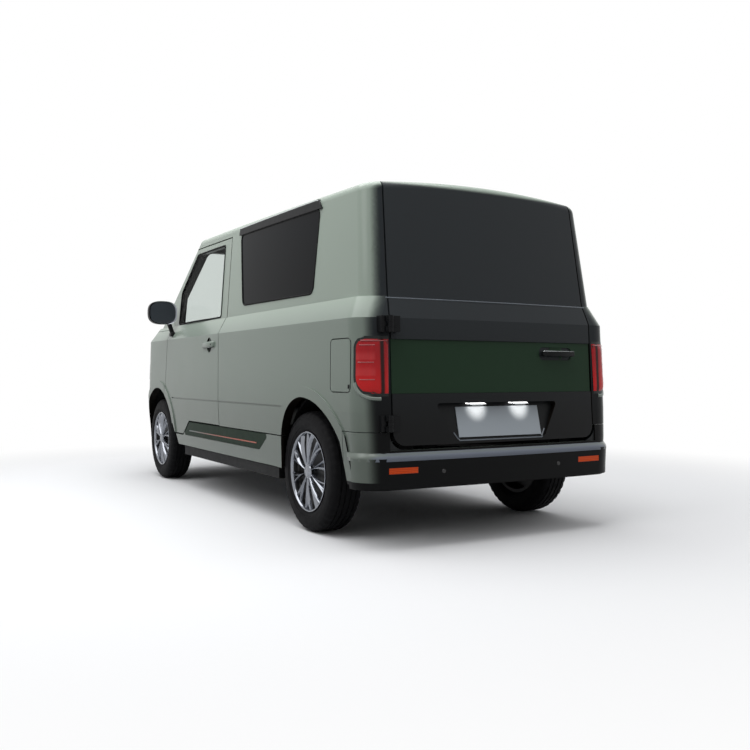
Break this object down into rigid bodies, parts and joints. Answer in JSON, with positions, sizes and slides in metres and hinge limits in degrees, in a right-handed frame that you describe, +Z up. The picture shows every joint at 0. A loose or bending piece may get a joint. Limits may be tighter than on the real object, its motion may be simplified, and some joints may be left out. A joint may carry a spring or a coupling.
{
  "type": "electric microvan",
  "caption": "Low electric microvan with a short bonnet, hinged front doors, a sliding side door, a side-hinged rear door, battery floor and steered front wheels.",
  "frame": {"origin": "on the ground, below the middle of the bounding box", "axes": "+Z up, the nose points to -Y, +X is the vehicle's left"},
  "size_m": [1.799, 3.715, 1.7115],
  "materials": {
    "body_paint": "satin sage green paint",
    "rear_paint": "dark anthracite paint",
    "band_green": "dark green moulded trim",
    "dark_plastic": "moulded black plastic",
    "gloss_black": "gloss black",
    "steel": "black chassis paint",
    "casing": "cast casing",
    "glass": "clear tinted glass",
    "dark_glass": "privacy glass",
    "tyre": "rubber",
    "wheel": "bright wheel cover",
    "lamp_red": "red lens",
    "lamp_orange": "orange reflector",
    "lamp_clear": "clear lens",
    "seat": "woven seat cloth",
    "interior": "grained interior plastic",
    "plate": "blank plate"
  },
  "bodies": {
    "van_body": {"floor_pan": "steel", "front_bulkhead": "body_paint", "battery_pack": "casing", "rear_axle": "steel", "leaf_springs": "steel", "front_suspension": "steel", "struts": "steel", "side_panel_left": "body_paint", "side_panel_right": "body_paint", "roof_panel": "body_paint", "nose_panel": "body_paint", "front_fender_left": "body_paint", "front_fender_right": "body_paint", "front_bumper": "body_paint", "rear_bumper": "rear_paint", "sill_left": "body_paint", "sill_right": "body_paint", "sill_inserts": "band_green", "rear_reflectors": "lamp_orange", "slide_door_right": "body_paint", "side_windows": "dark_glass", "window_rails": "gloss_black", "windscreen": "glass", "head_lamps": "lamp_clear", "tail_lamps": "lamp_red", "grille": "gloss_black", "dashboard": "interior", "seats": "seat", "charge_socket": "dark_plastic", "rear_hinge_brackets": "dark_plastic"},
    "door_left": {"door_left": "body_paint", "door_glass_left": "glass", "door_handle_left": "body_paint", "mirror_left": "gloss_black"},
    "door_right": {"door_right": "body_paint", "door_glass_right": "glass", "door_handle_right": "body_paint", "mirror_right": "gloss_black"},
    "rear_door": {"rear_door": "rear_paint", "rear_door_band": "band_green", "rear_door_handle": "dark_plastic", "number_plate": "plate", "rear_door_hinges": "dark_plastic"},
    "bonnet": {"bonnet": "body_paint"},
    "charge_flap": {"charge_flap": "body_paint"},
    "steering_wheel": {"steering_wheel": "dark_plastic"},
    "knuckle_left": {"knuckle_left": "steel"},
    "knuckle_right": {"knuckle_right": "steel"},
    "front_left_wheel": {"tyre_front_left": "tyre", "wheel_front_left": "wheel"},
    "front_right_wheel": {"tyre_front_right": "tyre", "wheel_front_right": "wheel"},
    "rear_left_wheel": {"tyre_rear_left": "tyre", "wheel_rear_left": "wheel"},
    "rear_right_wheel": {"tyre_rear_right": "tyre", "wheel_rear_right": "wheel"}
  },
  "joints": [
    {"name": "door_left_swing", "type": "hinge", "parent": "van_body", "child": "door_left", "pos_m": [0.727, -0.99, 0.8], "axis": [0, 0, -1], "range_deg": [0, 60]},
    {"name": "door_right_swing", "type": "hinge", "parent": "van_body", "child": "door_right", "pos_m": [-0.727, -0.99, 0.8], "axis": [0, 0, 1], "range_deg": [0, 60]},
    {"name": "rear_door_swing", "type": "hinge", "parent": "van_body", "child": "rear_door", "pos_m": [0.606, 1.842, 0.75], "axis": [0, 0, -1], "range_deg": [0, 100]},
    {"name": "bonnet_lift", "type": "hinge", "parent": "van_body", "child": "bonnet", "pos_m": [0, -1.551, 1.0985], "axis": [-1, 0, 0], "range_deg": [0, 55]},
    {"name": "charge_flap_swing", "type": "hinge", "parent": "van_body", "child": "charge_flap", "pos_m": [0.7315, 1.533, 0.8], "axis": [0, 0, -1], "range_deg": [0, 80]},
    {"name": "steer_left", "type": "hinge", "parent": "van_body", "child": "knuckle_left", "pos_m": [0.592, -1.29, 0.196], "axis": [-0.2334, 0, 0.9724], "range_deg": [-30, 30]},
    {"name": "steer_right", "type": "hinge", "parent": "van_body", "child": "knuckle_right", "pos_m": [-0.592, -1.29, 0.196], "axis": [0.2334, 0, 0.9724], "range_deg": [-30, 30]},
    {"name": "steering_wheel_turn", "type": "hinge", "parent": "van_body", "child": "steering_wheel", "pos_m": [0.375, -0.905, 0.935], "axis": [0, 0.8768, 0.4808], "range_deg": [-450, 450]},
    {"name": "roll_front_left", "type": "hinge", "parent": "knuckle_left", "child": "front_left_wheel", "pos_m": [0.6345, -1.29, 0.293], "axis": [1, 0, 0], "continuous": true},
    {"name": "roll_front_right", "type": "hinge", "parent": "knuckle_right", "child": "front_right_wheel", "pos_m": [-0.6345, -1.29, 0.293], "axis": [1, 0, 0], "continuous": true},
    {"name": "roll_rear_left", "type": "hinge", "parent": "van_body", "child": "rear_left_wheel", "pos_m": [0.6345, 1.23, 0.293], "axis": [1, 0, 0], "continuous": true},
    {"name": "roll_rear_right", "type": "hinge", "parent": "van_body", "child": "rear_right_wheel", "pos_m": [-0.6345, 1.23, 0.293], "axis": [1, 0, 0], "continuous": true}
  ],
  "couplings": [
    {"joint": "steer_right", "follows": "steer_left", "ratio": 1},
    {"joint": "steering_wheel_turn", "follows": "steer_left", "ratio": 14}
  ]
}
